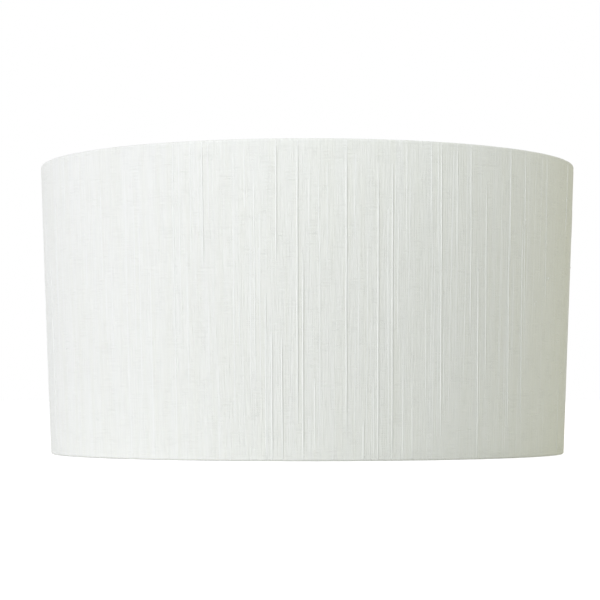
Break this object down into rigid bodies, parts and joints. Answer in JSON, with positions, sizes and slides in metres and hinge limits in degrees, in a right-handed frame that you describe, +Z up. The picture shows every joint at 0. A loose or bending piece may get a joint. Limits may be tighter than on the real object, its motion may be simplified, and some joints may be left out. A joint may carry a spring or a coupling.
{
  "type": "lamp shade",
  "caption": "Slightly tapered drum lamp shade, ivory slub cloth laminated to a stiff panel and rolled round two wire rings, with a spider and a tilting fitter ring for the lampholder.",
  "frame": {"origin": "centre of the bottom rim, in the plane that the rim rests on", "axes": "+Z up the shade's own axis, towards the wider rim and the fitter; the two pivot rivets lie along X; the lapped seam is at the back, towards +Y"},
  "size_m": [0.45, 0.452, 0.24],
  "materials": {
    "cloth": "ivory slub weave, matt with a faint sheen",
    "panel": "white, satin",
    "tape": "translucent adhesive",
    "enamel": "white powder coat",
    "zinc": "zinc plated",
    "nylon": "white moulded, semi-gloss"
  },
  "bodies": {
    "shade": {"cover_fabric": "cloth", "liner_panel": "panel", "seam_tape": "tape", "top_ring": "enamel", "bottom_ring": "enamel", "spoke_1": "enamel", "spoke_2": "enamel", "spoke_3": "enamel", "carrier_ring": "enamel", "pivot_rivet_left": "zinc", "pivot_rivet_right": "zinc", "pivot_spacer_left": "nylon", "pivot_spacer_right": "nylon"},
    "fitter": {"fitter_ring": "enamel"},
    "reducer": {"reducer_ring": "nylon"}
  },
  "joints": [
    {"name": "fitter_tilt", "type": "hinge", "parent": "shade", "child": "fitter", "pos_m": [0, 0, 0.20245], "axis": [1, 0, 0], "range_deg": [-90, 90]},
    {"name": "reducer_lift", "type": "slide", "parent": "fitter", "child": "reducer", "axis": [0, 0, 1], "range_m": [0, 0.02]}
  ]
}
